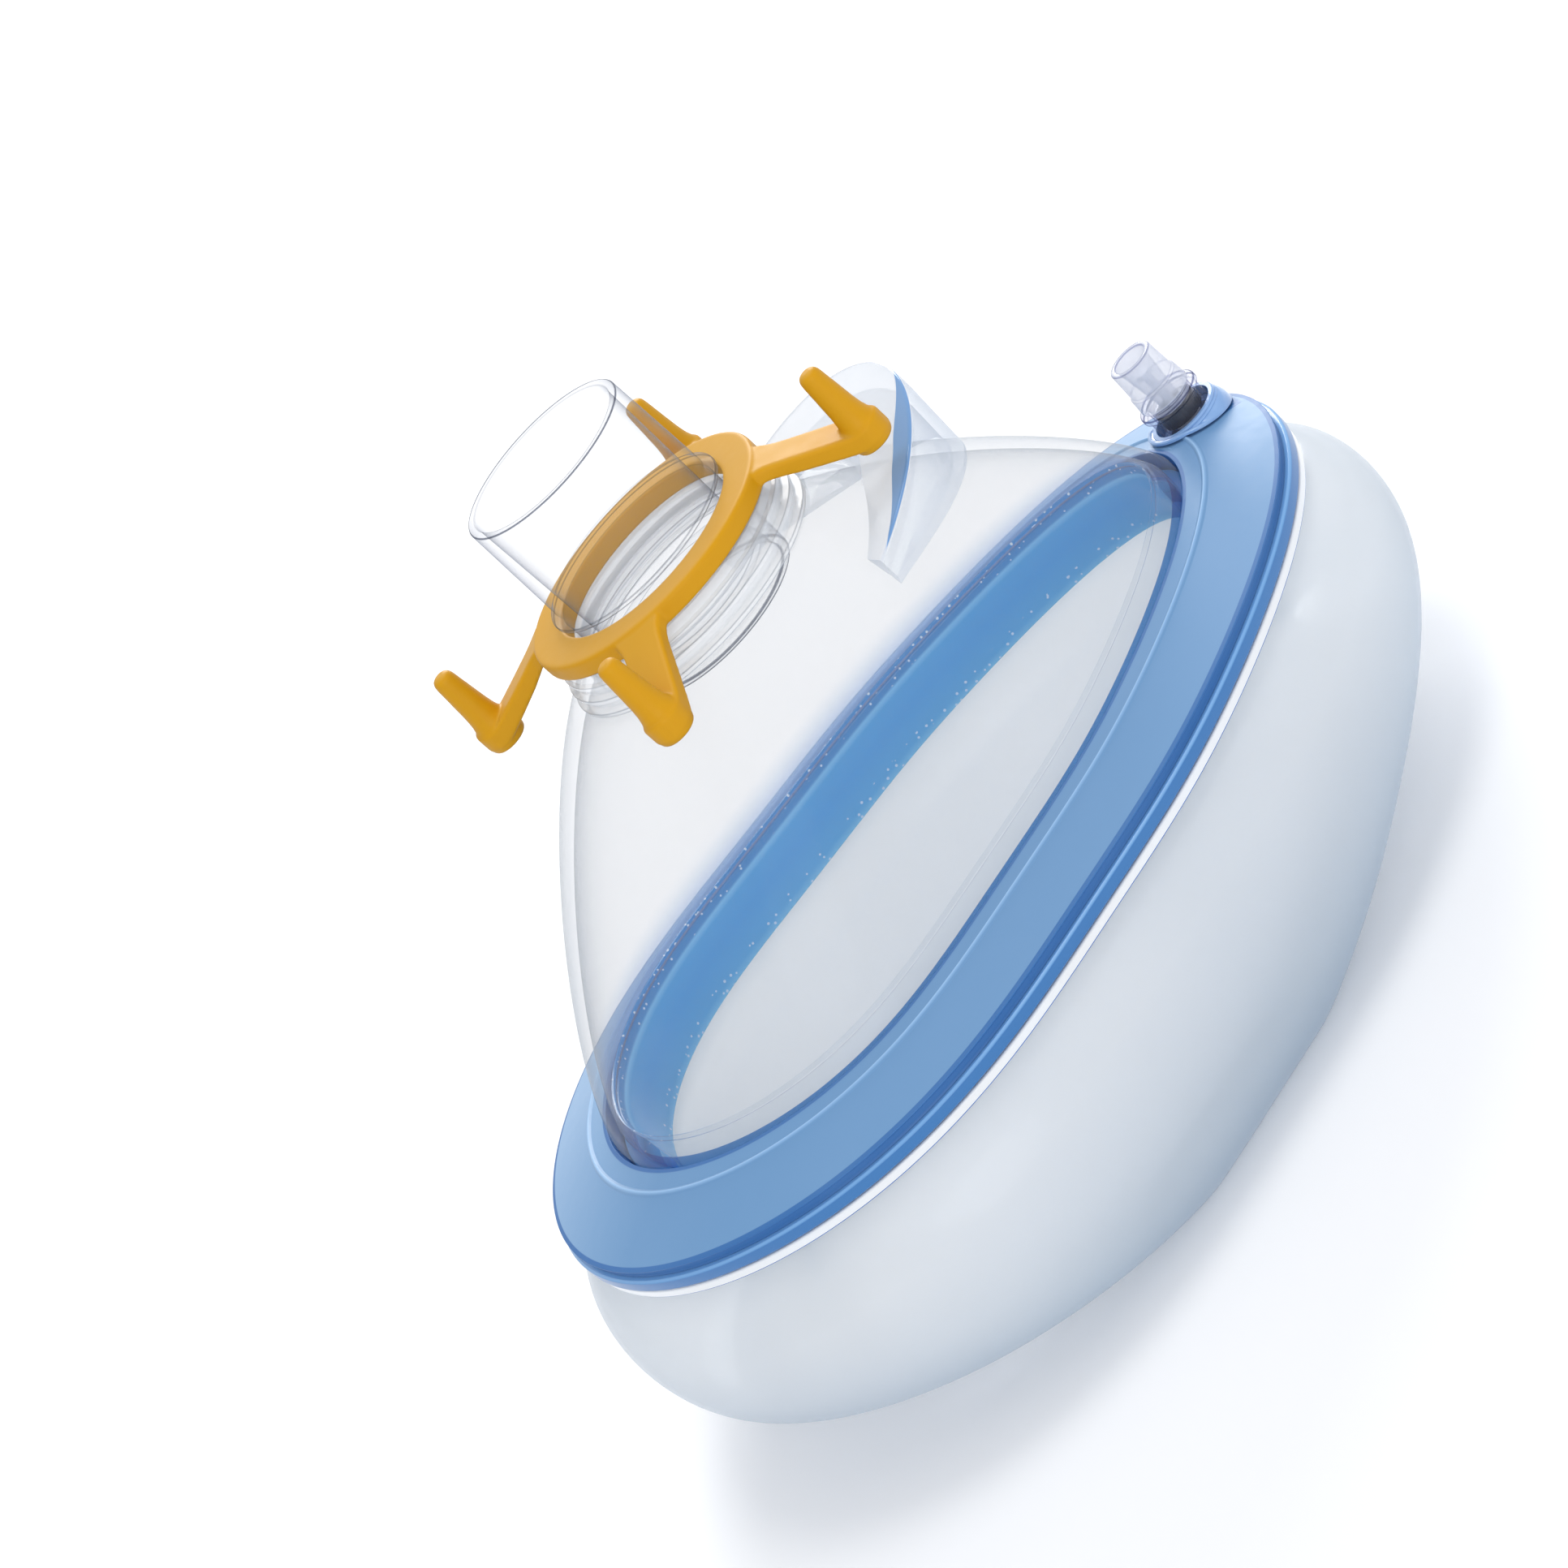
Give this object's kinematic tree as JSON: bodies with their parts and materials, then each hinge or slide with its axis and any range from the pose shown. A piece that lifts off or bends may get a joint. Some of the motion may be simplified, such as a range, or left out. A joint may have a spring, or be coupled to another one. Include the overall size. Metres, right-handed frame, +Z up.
{
  "type": "air cushion face mask",
  "caption": "Clear domed anaesthesia and resuscitation face mask with inflatable cushion, blue rim, tapered port, swivelling amber strap hook ring and inflation valve.",
  "frame": {"origin": "middle of the footprint, on the surface the mask stands on; the port's axis is 2.55 mm toward the nose end", "axes": "+Z up along the port, +X along the mask toward its narrow nose end and the inflation valve, Y across"},
  "size_m": [0.1462, 0.1008, 0.1061],
  "materials": {
    "clear_dome": "clear polished moulding",
    "clear_port": "clear polished moulding",
    "clear_thumb": "clear polished moulding",
    "amber_ring": "satin moulded amber",
    "light_blue": "satin soft plastic",
    "mid_blue": "glossy soft plastic",
    "inner_blue": "glossy soft plastic",
    "cushion_film": "clear soft film, slightly hazy",
    "clear_lip": "clear weld rim",
    "clear_inner_lip": "clear weld rim",
    "adhesive": "cured clear adhesive over blue",
    "gland_blue": "glossy soft plastic",
    "valve_clear_body": "clear polished moulding",
    "valve_clear_tube": "clear polished moulding",
    "black_seal": "black rubber",
    "plunger_white": "natural moulded",
    "cage_white": "natural moulded",
    "spring_steel": "bright spring wire"
  },
  "bodies": {
    "mask": {"dome_shell": "clear_dome", "port_connector": "clear_port", "thumb_rest": "clear_thumb", "flange_ring": "light_blue", "backing_ring": "mid_blue", "inner_skirt": "inner_blue", "bond_bead": "adhesive", "cushion_lip": "clear_lip", "inner_lip": "clear_inner_lip", "cushion": "cushion_film", "valve_gland": "gland_blue", "valve_cup": "valve_clear_body", "valve_inlet": "valve_clear_tube", "valve_seal": "black_seal", "valve_guide": "cage_white", "valve_spring": "spring_steel"},
    "strap_ring": {"hook_ring": "amber_ring"},
    "plunger": {"valve_plunger": "plunger_white"}
  },
  "joints": [
    {"name": "strap_ring_swivel", "type": "hinge", "parent": "mask", "child": "strap_ring", "pos_m": [0.00255, 0, 0.0881], "axis": [0, 0, 1], "continuous": true},
    {"name": "valve_push", "type": "slide", "parent": "mask", "child": "plunger", "axis": [0, 0, -1], "range_m": [0, 0.0018], "stiffness_N_per_m": 250, "springref_m": -0.002, "deforming": ["valve_spring"]}
  ]
}
